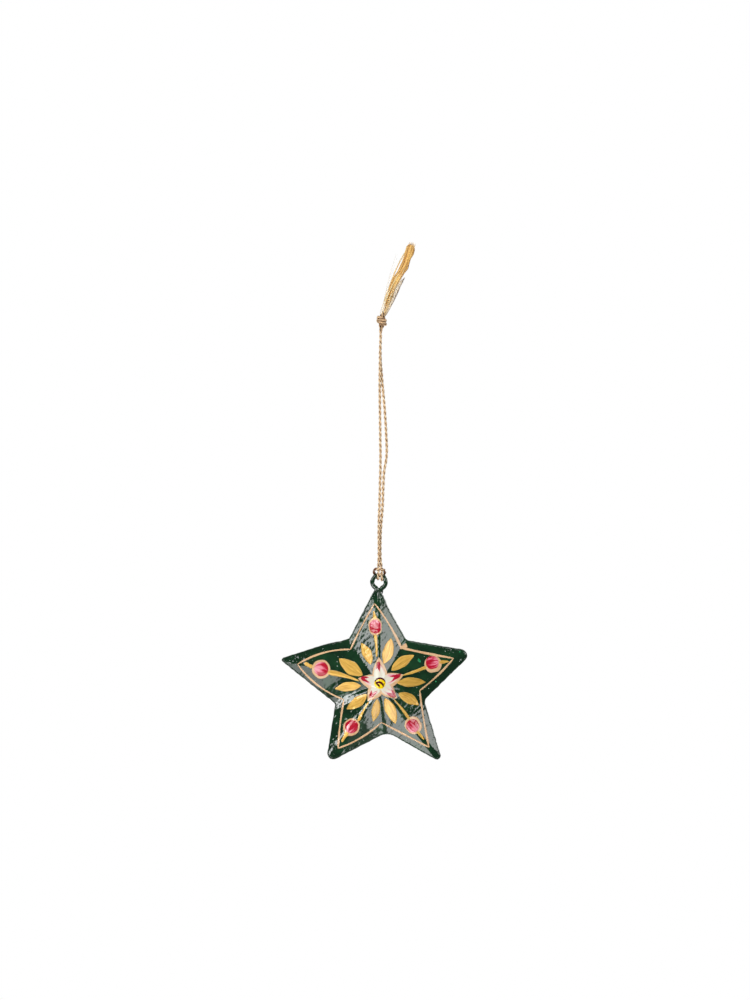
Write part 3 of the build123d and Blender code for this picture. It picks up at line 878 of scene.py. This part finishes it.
# Cord: one length of two-ply jute twine from the knot down the left, round the eye in a cow hitch
# and back up the right. The plies are twisted together by hand, like the letter S.
PLY_R = 0.345
PLY_OFF = 0.295  # of a ply's middle from the cord's
PLY_SIDES = 14
LAY = 4.7  # length of one full turn of the plies
FIBRE_TWIST = 1.6  # of the fibres round their ply, in radians for each mm
PLY_APART = 40  # between the patterns of the two plies, so that they differ
CUT_Z = -92.0  # the hitch's piece ends here, above the bend of the cord
ROUTE_STEP = 0.22
ROUTE = [
    (0.45, -0.70, -1.7), (0.45, -0.70, -5.5), (0.20, -0.74, -10.5), (0.16, -0.68, -16.0),
    (0.02, -0.46, -23.0), (0.08, -0.16, -31.0), (0.22, 0.00, -40.0), (0.28, 0.05, -48.0),
    (0.42, 0.00, -56.0), (0.30, -0.05, -64.0), (0.06, 0.00, -72.0), (-0.12, -0.16, -78.5),
    (-0.38, -0.42, -84.5), (-0.36, -0.58, -91.0), (-0.32, -0.56, -97.0), (-0.33, -0.55, -100.1),
    (-0.46, -0.25, -102.2), (-0.55, 0.35, -104.1), (-0.52, -1.66, -105.9), (-0.50, -1.85, -108.6),
    (-0.78, 1.80, -108.8), (-1.95, 1.95, -107.05), (-2.62, 0.55, -105.3), (-1.75, -1.40, -104.3),
    (0.10, -2.05, -104.3), (1.42, -1.86, -104.3), (2.30, 0.20, -105.3), (2.20, 1.90, -107.1),
    (1.03, 1.85, -109.15), (0.92, -1.85, -109.0), (0.94, -1.66, -106.0), (0.82, 0.40, -104.1),
    (0.60, 0.60, -102.2), (0.33, 0.66, -100.1), (0.30, 0.66, -97.0), (0.32, 0.64, -91.0),
    (0.66, 0.55, -84.8), (1.20, 0.26, -79.5), (1.42, 0.06, -74.0), (1.60, 0.00, -68.0),
    (1.92, 0.06, -61.8), (2.80, 0.04, -57.8), (3.18, -0.02, -53.5), (2.85, -0.08, -46.5),
    (2.40, 0.00, -38.0), (1.65, 0.20, -29.0), (0.95, 0.54, -21.5), (0.42, 0.72, -15.0),
    (0.28, 0.73, -9.5), (0.45, 0.70, -5.0), (0.45, 0.70, -1.7),
]


def smooth_line(points, step):
    """Evenly spaced points of the smooth NURBS line that these control points give, and the length
    along it at each."""
    data = bpy.data.curves.new("route", "CURVE")
    data.dimensions = "3D"
    data.resolution_u = 24
    spline = data.splines.new("NURBS")
    spline.points.add(len(points) - 1)
    spline.points.foreach_set("co", np.array([(*p, 1.0) for p in points]).ravel())
    spline.order_u = 3
    spline.use_endpoint_u = True
    holder = bpy.data.objects.new("route", data)
    mesh = bpy.data.meshes.new_from_object(holder)
    line = np.zeros(3 * len(mesh.vertices))
    mesh.vertices.foreach_get("co", line)
    bpy.data.objects.remove(holder)
    bpy.data.curves.remove(data)
    bpy.data.meshes.remove(mesh)
    line = line.reshape(-1, 3)
    length = travelled(line)[-1]
    places = np.linspace(0, length, int(length / step) + 1)
    return places, points_at(places, line)


def twisted_plies(along, line, carried, ply_r, ply_off, lay):
    """Two plies round a line: their middles lie ply_off from it, half a turn apart, and turn once
    against the clock in each lay. Local holds the length along the ply, the place round it, turned
    with its fibres, and how far out of the cord it lies."""
    normal, cross = carried
    grids, ends, ring_locals, end_locals = [], [], [], []
    for ply in (0, 1):
        turn = (-2 * np.pi * along / lay + np.pi * ply)[:, None]
        middle = line + ply_off * (normal * np.cos(turn) + cross * np.sin(turn))
        swell = 1 + 0.05 * np.sin(2.1 * along + 2 * ply) + 0.04 * np.sin(5.3 * along + ply)
        grid = round_tube(middle, ply_r * swell, PLY_SIDES)
        fibre = full_turn(PLY_SIDES) + FIBRE_TWIST * along[:, None]
        lengthways = 0.5 * along[:, None] + PLY_APART * ply + 0 * fibre
        around = 1.4 * np.cos(fibre) + 3 * np.sin(fibre)
        outward = (np.linalg.norm(grid - line[:, None], axis=2) - ply_off) / ply_r
        grids.append(grid)
        ends.append(middle[[0, -1]])
        ring_locals.append(np.stack([lengthways, around, outward], -1).reshape(-1, 3))
        end_locals += [(0.5 * along[0], 0, 0), (0.5 * along[-1], 0, 0)]
    return (*closed_tubes(np.array(grids), np.array(ends)), np.vstack([*ring_locals, end_locals]))


def twine_finish(name, shade, pale, deep):
    """Dry plant fibre: a matt surface with fine fibres along the twist, with painted shade, dark between
    the plies.
    """
    finish, tree, shader, local = local_finish(name)
    fibre = add_node(tree, "TexNoise", Vector=local, Scale=1.3, Detail=6.0, Roughness=0.7)
    tone = add_node(tree, "MapRange", Value=fibre.outputs["Fac"], From_Min=0.34, From_Max=0.66)
    lit = add_node(tree, "Mix", COLOURS, Factor=tone.outputs[0], i6=linear(shade), i7=linear(pale))
    outward = add_node(tree, "SeparateXYZ", Vector=local).outputs[2]
    # Painted shade: the further in a point lies, between the plies, the more it takes the dark colour
    painted_ply_shade = add_node(tree, "MapRange", Value=outward, From_Min=0.70, From_Max=-0.10)
    tint = add_node(tree, "Mix", COLOURS, Factor=painted_ply_shade.outputs[0], i6=lit.outputs[2], i7=linear(deep))
    bump = add_node(tree, "Bump", Height=fibre.outputs["Fac"], Distance=0.12 * MM, Strength=0.8)
    look = {"Base_Color": tint.outputs[2], "Normal": bump.outputs[0], "Roughness": 0.75}
    plug(tree, shader, Sheen_Weight=0.15, **look)
    return finish


twine = twine_finish("jute_twine_two_ply", "#c48a4c", "#ffefca", "#6e3f20")
cord_along, cord_line = smooth_line(ROUTE, ROUTE_STEP)
cord_frame = carried_frame(cord_line)
below_cut = np.nonzero(cord_line[:, 2] < CUT_Z)[0]
cut_down, cut_up = below_cut[0], below_cut[-1]

# Painted shade: the hitch is darker than the strands, and brown at its sides, where it goes behind the
# wire of the eye
HITCH_X = 0.1
HITCH_TOP = -101.0
painted_hitch_shade = 0.15 + 0.80 * np.clip((np.abs(cord_line[:, 0] - HITCH_X) - 1.1) / 0.6, 0, 1)
painted_hitch_shade = painted_hitch_shade * np.clip((HITCH_TOP - cord_line[:, 2]) / 2.5, 0, 1)


def cord_piece(name, first, last, cad_node):
    """The stretch of the twisted cord between two points of its line, that line and its length."""
    stretch = slice(first, last + 1)
    carried = tuple(vectors[stretch] for vectors in cord_frame)
    surface = twisted_plies(cord_along[stretch], cord_line[stretch], carried, PLY_R, PLY_OFF, LAY)
    # The hitch's painted shade moves its points inwards, towards the dark colour between the plies
    painted_shade_rings = np.tile(np.repeat(painted_hitch_shade[stretch], PLY_SIDES), 2)
    surface[2][: len(painted_shade_rings), 2] -= painted_shade_rings
    piece = new_piece(name, surface, twine, cad_node=cad_node)
    return piece, cord_line[stretch] * MM, (cord_along[last] - cord_along[first]) * MM


cord_left, left_line, left_length = cord_piece("cord_left", 0, cut_down, "cord_strand_left")
cord_hitch, hitch_line, hitch_length = cord_piece("cord_loop_round_eye", cut_down, cut_up, "cord_hitch")
cord_right, right_line, right_length = cord_piece(
    "cord_right", cut_up, len(cord_line) - 1, "cord_strand_right"
)
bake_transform(cord_left)
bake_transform(cord_right)
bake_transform(cord_hitch)

# Knot: the two strands tied together in one overhand knot, drawn tight. The turns lie slanting round
# the strands, which go on up through it, and tuck in at both ends.
TASSEL_FOOT = np.array([1.60, 0.0, 5.1])
KNOT_START = np.array([0.45, 0.0, -1.7])
KNOT_MIDDLE = np.array([0.90, 0.0, 2.85])
KNOT_TURNS = 2.3
KNOT_RADIUS = 1.76
KNOT_PITCH = 1.42
KNOT_TILT = -0.85
KNOT_FIRST = 0.6  # angle at which the wrap begins
KNOT_LAY = 5.2
WRAP_PLY_R = 0.48  # the plies of the wrap are thicker than those of the strands
WRAP_PLY_OFF = 0.30
CORE_OFF = 0.68  # of each strand from the middle of the knot
WRAP_ROWS = 150
CORE_ROWS = 40
knot_axis = unit(TASSEL_FOOT - KNOT_START)
knot_side = np.array([knot_axis[2], 0.0, -knot_axis[0]])
knot_back = np.cross(knot_axis, knot_side)
knot_turn = np.linspace(0, KNOT_TURNS, WRAP_ROWS)
knot_angle = 2 * np.pi * knot_turn + KNOT_FIRST
knot_end = np.minimum(knot_turn, KNOT_TURNS - knot_turn)
# The wrap draws in over the last 0.9 of a turn at each end, and goes under in the last 0.2
knot_tuck = 0.35 * np.clip(1 - knot_end / 0.9, 0, 1) + 0.7 * np.clip(1 - knot_end / 0.2, 0, 1) ** 2
knot_r = KNOT_RADIUS - knot_tuck
knot_rise = KNOT_PITCH * (knot_turn - KNOT_TURNS / 2) + KNOT_TILT * np.cos(knot_angle)
wrap_line = (
    KNOT_MIDDLE
    + (knot_r * np.cos(knot_angle))[:, None] * knot_side
    + (knot_r * np.sin(knot_angle))[:, None] * knot_back
    + knot_rise[:, None] * knot_axis
)
core_share = np.linspace(0, 1, CORE_ROWS)[:, None]


def core_line(side):
    """One strand's way up through the knot: it lies beside its neighbour and turns half round it."""
    straight = KNOT_START + core_share * (TASSEL_FOOT + knot_axis - KNOT_START)
    swing = np.pi / 2 * side + np.pi * core_share
    return straight + CORE_OFF * (knot_side * np.cos(swing) + knot_back * np.sin(swing))


knot_paths = (
    (wrap_line, WRAP_PLY_R, WRAP_PLY_OFF),
    (core_line(1), PLY_R, PLY_OFF),
    (core_line(-1), PLY_R, PLY_OFF),
)
knot_vertices, knot_faces, knot_local = [], [], []
for path, ply_r, ply_off in knot_paths:
    vertices, faces, local = twisted_plies(
        travelled(path), path, carried_frame(path), ply_r, ply_off, KNOT_LAY
    )
    offset = sum(len(part) for part in knot_vertices)
    knot_vertices.append(vertices)
    knot_faces += [[i + offset for i in face] for face in faces]
    # Painted shade: the knot's points are moved inwards, so more of it takes the dark colour between the
    # plies
    knot_local.append(local * (0.6, 0.5, 1.0) - (0.0, 0.0, 0.2))  # coarser and darker than the cord
knot = (np.vstack(knot_vertices), knot_faces, np.vstack(knot_local))
tight_twine = twine_finish("jute_twine_drawn_tight", "#8a4f1e", "#ffe0b0", "#451c04")
cord_knot = new_piece("cord_tied_knot", knot, tight_twine, "hanger", "cord_knot")

# Tassel: the two ends of the twine above the knot, untwisted and combed out into loose fibres. Most
# stand together in an ochre tuft; a paler lock falls short on the right and single hairs stand off.
# The upper part of the tuft is matted, flat and blunt, with the fibres lying along it.
TASSEL_LEAN = np.radians(22.0)
tuft_up = np.array([np.sin(TASSEL_LEAN), 0.0, np.cos(TASSEL_LEAN)])
tuft_side = np.array([np.cos(TASSEL_LEAN), 0.0, -np.sin(TASSEL_LEAN)])
tuft_back = np.array([0.0, 1.0, 0.0])
MAT = [
    # rise along the tuft, middle to the right, half width
    (0.3, 0.0, 0.30),
    (2.0, -0.05, 0.30),
    (4.7, -0.45, 0.30),
    (8.8, -1.0, 0.45),
    (12.6, -0.95, 1.10),
    (15.5, -0.75, 1.60),
    (17.5, -0.5, 1.60),
    (20.0, 0.05, 1.45),
    (22.8, 0.5, 1.85),
    (25.0, 0.4, 1.62),
    (27.0, 0.25, 1.55),
    (29.3, 0.25, 1.90),
    (31.5, 0.0, 1.85),
    (32.8, -0.1, 1.15),
]
MAT_FLAT = 0.62  # its depth as a share of its width
MAT_RIDGES = waves(83, 34, 0.50, 1.8, 0.50, 0.0, 5.0)
MAT_ROWS = 240
MAT_SIDES = 96
mat = np.array(MAT)
mat_rise = np.linspace(mat[0, 0], mat[-1, 0], MAT_ROWS)[:, None]
mat_middle = np.interp(mat_rise, mat[:, 0], mat[:, 1])
mat_half = np.interp(mat_rise, mat[:, 0], mat[:, 2])
mat_turn = full_turn(MAT_SIDES)[None]
round_x = 1.5 * np.cos(mat_turn) + 0 * mat_rise
round_y = 1.5 * np.sin(mat_turn) + 0 * mat_rise
mat_ridges = ripple(round_x + 1.7 * round_y, mat_rise, MAT_RIDGES)
mat_side = mat_middle + (mat_half + mat_ridges) * np.cos(mat_turn)
mat_back = (MAT_FLAT * mat_half + mat_ridges) * np.sin(mat_turn)


def in_tuft(side, back, rise):
    """Points this far to the right, behind and up along the lean of the tuft, from its foot."""
    level = side[..., None] * tuft_side + back[..., None] * tuft_back
    return TASSEL_FOOT + level + rise[..., None] * tuft_up


mat_grid = in_tuft(mat_side, mat_back, mat_rise)
mat_ends = in_tuft(mat_middle, 0 * mat_rise, mat_rise)[[0, -1], 0]
# Painted shade: the valleys between the ridges take the dark colour of the twine's finish
mat_local = np.stack([1.5 * round_x + round_y, 0.16 * mat_rise + 0 * round_x, 0.55 + 5 * mat_ridges], -1)
mat_local = np.vstack([mat_local.reshape(-1, 3), np.zeros((2, 3))])
mat_surface = (*closed_tubes(mat_grid[None, :, ::-1], mat_ends[None]), mat_local)
matted = twine_finish("ochre_jute_fibre_matted", "#cb8c34", "#f5d080", "#8a4c14")
tassel_mat = new_piece("tassel_mat", mat_surface, matted, "hanger", "cord_tassel")

FIBRE_STEPS = 24
FIBRE_SIDES = 3
TUFT_SHARES = (0.0, 0.16, 0.38, 0.65, 0.92, 1.0)  # of a lock's length, where its course is given


def fibres(seed, locks, per_lock, start, length, course, half_widths, thickness, loose, tones):
    """Loose fibres as three-sided tubes, in locks that run together. A lock keeps its place in an
    oval section while the section's middle follows the course, in mm to the right, and its half
    width changes; it waves a little, and its fibres part by up to loose towards the tip. Local holds
    the share of the length and each fibre's tone."""
    draw = np.random.default_rng(seed)
    step = np.linspace(0, 1, FIBRE_STEPS)
    middle = np.interp(step, TUFT_SHARES, course)
    half = np.interp(step, TUFT_SHARES, half_widths)
    count = locks * per_lock

    def each(low, high):
        """One draw for each lock, given to all of its fibres, as a column."""
        return np.repeat(draw.uniform(low, high, locks), per_lock)[:, None]

    def wave():
        """A slow wave along each lock, growing from its foot."""
        return each(0.05, 0.28) * step * np.sin(each(3, 8) * step + each(0, 6))

    out, turn = np.sqrt(each(0.02, 1)), each(0, 2 * np.pi)
    apart = draw.normal(0, loose, (2, count, 1)) * (0.30 + 0.70 * step**2)
    side = middle + out * np.cos(turn) * half + apart[0] + wave()
    back = 0.75 * out * np.sin(turn) * half + apart[1] + wave()
    rise = start + length * each(0.84, 1.0) * draw.uniform(0.95, 1.0, (count, 1)) * step
    line = in_tuft(side, back, rise)
    corner = full_turn(FIBRE_SIDES) + draw.uniform(0, 6, (count, 1))
    ring = np.cos(corner)[..., None] * tuft_side + np.sin(corner)[..., None] * tuft_back
    taper = thickness * (1 - 0.55 * step**3)
    grid = line[:, :, None] + ring[:, None] * taper[:, None, None]
    tone = np.clip(each(*tones) + draw.normal(0, 0.12, (count, 1)), 0, 1)
    tones_all = tone[..., None] + 0 * grid[..., 0]
    local = np.stack([step[:, None] + 0 * tones_all, tones_all, 0 * tones_all], -1).reshape(-1, 3)
    end_local = np.stack([np.tile([0.0, 1.0], count), np.repeat(tone, 2), np.zeros(2 * count)], -1)
    return (*closed_tubes(grid[:, :, ::-1], line[:, [0, -1]]), np.vstack([local, end_local]))


def fibre_finish(name, dark, light, foot):
    """Combed plant fibre: a dry sheen, a tone of its own for each fibre, and one pale colour for all of
    them near the knot, painted light that lifts the shade they cast on one another there."""
    finish, tree, shader, local = local_finish(name)
    axes = add_node(tree, "SeparateXYZ", Vector=local)
    own = add_node(tree, "Mix", COLOURS, Factor=axes.outputs[1], i6=linear(dark), i7=linear(light))
    painted_light_near_knot = add_node(tree, "MapRange", Value=axes.outputs[0], From_Min=0.35, From_Max=0.0, To_Max=0.6)
    tint = add_node(tree, "Mix", COLOURS, Factor=painted_light_near_knot.outputs[0], i6=own.outputs[2], i7=linear(foot))
    plug(tree, shader, Base_Color=tint.outputs[2], Roughness=0.6, Sheen_Weight=0.2)
    return finish


ochre_fibre = fibre_finish("ochre_jute_fibre_combed", "#cd8c2a", "#ffeab0", "#f2d6a8")
pale_fibre = fibre_finish("pale_jute_fibre_combed", "#8d6a4c", "#fff4dc", "#e6c9a0")
LOCKS = {
    # seed, locks, fibres in each, start, length, course, half widths, thickness, loose, tones, finish
    "tassel_tuft": (
        61, 17, 7, 0.0, 24.0, (-0.5, -0.6, -0.9, -0.75, -0.2, 0.2), (1.3, 1.55, 1.6, 1.5, 1.5, 1.4),
        0.12, 0.06, (0.3, 1.0), ochre_fibre,
    ),
    "tassel_strand": (
        63, 5, 5, 6.0, 24.0, (-1.7, -2.1, -2.4, -2.45, -2.0, -1.5), (0.2, 0.2, 0.2, 0.2, 0.3, 0.3),
        0.11, 0.05, (0.4, 1.0), ochre_fibre,
    ),
    "tassel_tip": (
        65, 16, 6, 24.0, 10.3, (0.2, 0.2, 0.3, 0.2, 0.1, 0.1), (0.9, 1.1, 1.3, 1.5, 1.5, 1.4),
        0.07, 0.14, (0.3, 1.0), ochre_fibre,
    ),
    "tassel_lock": (
        67, 9, 5, 0.0, 18.5, (0.4, 0.7, 1.0, 1.2, 1.5, 1.8), (0.7, 0.85, 0.85, 0.7, 0.5, 0.4),
        0.10, 0.08, (0.5, 1.0), pale_fibre,
    ),
    # Painted shade: dark fibres along the outer edge of the pale lock
    "tassel_lock_shaded_edge": (
        69, 4, 6, 0.5, 19.5, (1.0, 1.4, 1.75, 2.0, 2.2, 2.6), (0.15, 0.15, 0.15, 0.15, 0.2, 0.2),
        0.075, 0.08, (0.0, 0.25), pale_fibre,
    ),
    "tassel_hairs": (
        71, 3, 1, 4.0, 25.0, (-1.4, -2.4, -3.2, -3.9, -4.4, -4.6), (0.2, 0.3, 0.4, 0.5, 0.6, 0.6),
        0.05, 0.1, (0.6, 0.9), pale_fibre,
    ),
}
for name, (*form, finish) in LOCKS.items():
    new_piece(name, fibres(*form), finish, "hanger")

# Stage: a pale floor under the hanging star, a white surround, and softboxes that the enamel mirrors
# in its facets. Eight stand in front, with a small bright key lamp among them, and three behind.
FLOOR_Z = -0.70
FLOOR_R = 0.55
FLOOR_SIDES = 96
WHITE = (1, 1, 1, 1)
floor_turn = full_turn(FLOOR_SIDES)
floor_z = np.full(FLOOR_SIDES, FLOOR_Z)
floor_points = np.stack([FLOOR_R * np.cos(floor_turn), FLOOR_R * np.sin(floor_turn), floor_z], -1)
floor_mesh = bpy.data.meshes.new("floor")
floor_mesh.from_pydata(floor_points.tolist(), [], [list(range(FLOOR_SIDES))])
# The floor is matt, and a little brighter to the camera, so that it fades into the white surround
pale, tree, shader = new_finish("pale_floor")
rays = add_node(tree, "LightPath")
paler = add_node(tree, "Math", {"operation": "MULTIPLY"}, i0=rays.outputs["Is Camera Ray"], i1=0.45)
plug(tree, shader, Emission_Color=WHITE, Emission_Strength=paler.outputs[0])
plug(tree, shader, Base_Color=linear("#f2f1ee"), Roughness=0.9)
floor_mesh.materials.append(pale)
floor = bpy.data.objects.new("floor", floor_mesh)
bpy.context.scene.collection.objects.link(floor)

# The camera sees a white surround. It lights the object weakly, and gloss mirrors it behind the object
world = bpy.data.worlds.new("white_studio")
bpy.context.scene.world = world
world.use_nodes = True
tree = world.node_tree
rays = add_node(tree, "LightPath").outputs
heading = add_node(tree, "TexCoord").outputs["Generated"]
axes = add_node(tree, "SeparateXYZ", Vector=heading)
behind = add_node(
    tree, "MapRange", Value=axes.outputs[1], From_Min=0.45, From_Max=0.75, To_Min=0.10, To_Max=0.9
)
mirrored = add_node(
    tree, "Mix", {"data_type": "FLOAT"}, Factor=rays["Is Glossy Ray"], i2=0.08, i3=behind.outputs[0]
)
seen = mirrored.outputs[0]
for ray in ("Is Camera Ray", "Is Transmission Ray"):
    seen = add_node(tree, "Math", {"operation": "MAXIMUM"}, i0=seen, i1=rays[ray]).outputs[0]
plug(tree, tree.nodes["Background"], Color=WHITE, Strength=seen)


def softbox(name, turn, off_axis, distance, wide, high, radiance, front=-1):
    """A softbox that the star sees turn degrees round from +X and off_axis degrees from straight
    ahead. Its power is its radiance times four times its area."""
    a, b = np.radians([turn, off_axis])
    way = np.array([np.cos(a) * np.sin(b), front * np.cos(b), np.sin(a) * np.sin(b)])
    lamp = bpy.data.lights.new(name, "AREA")
    lamp.shape = "RECTANGLE"
    lamp.size, lamp.size_y = wide, high
    lamp.energy = radiance * 4 * wide * high
    box = bpy.data.objects.new(name, lamp)
    box.location = np.array([0, 0, STAR_Z * MM]) + way * distance
    across = unit(np.cross(-way, (np.cos(a), 0.0, np.sin(a))))
    axes = np.stack([across, np.cross(across, -way), way], -1)
    box.rotation_euler = Matrix(axes.tolist()).to_euler()
    box.visible_camera = False
    bpy.context.scene.collection.objects.link(box)


# Degrees round and off straight ahead, then distance, width and height in metres, and radiance
softbox("softbox_right", 18, 48, 0.60, 0.25, 0.20, 4.7)
softbox("softbox_upper_left", 141, 43, 0.60, 0.25, 0.17, 6.3)
softbox("softbox_left", 214.5, 50, 0.60, 0.27, 0.17, 2.8)
softbox("softbox_low_left", 246, 56, 0.60, 0.13, 0.15, 4.2)
softbox("softbox_low_right", 298.5, 47.5, 0.60, 0.115, 0.15, 4.2)
softbox("softbox_top", 90, 66, 0.62, 0.30, 0.20, 5.0)
softbox("key_lamp", 232, 21.5, 0.70, 0.20, 0.10, 15.5)
softbox("strip_by_notch", 203, 42, 0.60, 0.10, 0.14, 9.5)
softbox("softbox_back_right", 20, 46, 0.60, 0.30, 0.24, 4.7, front=1)
softbox("softbox_back_left", 150, 46, 0.60, 0.24, 0.24, 4.7, front=1)
softbox("softbox_back_low", 262, 48, 0.60, 0.20, 0.20, 4.7, front=1)

# The photograph is taken level and from straight ahead, from far enough to look almost flat
camera_data = bpy.data.cameras.new("camera")
camera_data.lens = 100
camera_data.sensor_width = 36
camera_data.sensor_height = 36
camera_data.sensor_fit = "VERTICAL"
camera = bpy.data.objects.new("camera", camera_data)
camera.location = (-1.99 * MM, -1200 * MM, -74.6 * MM)
camera.rotation_euler = (np.pi / 2, 0, 0)
bpy.context.scene.collection.objects.link(camera)
bpy.context.scene.camera = camera
bpy.context.scene.view_settings.view_transform = "Standard"
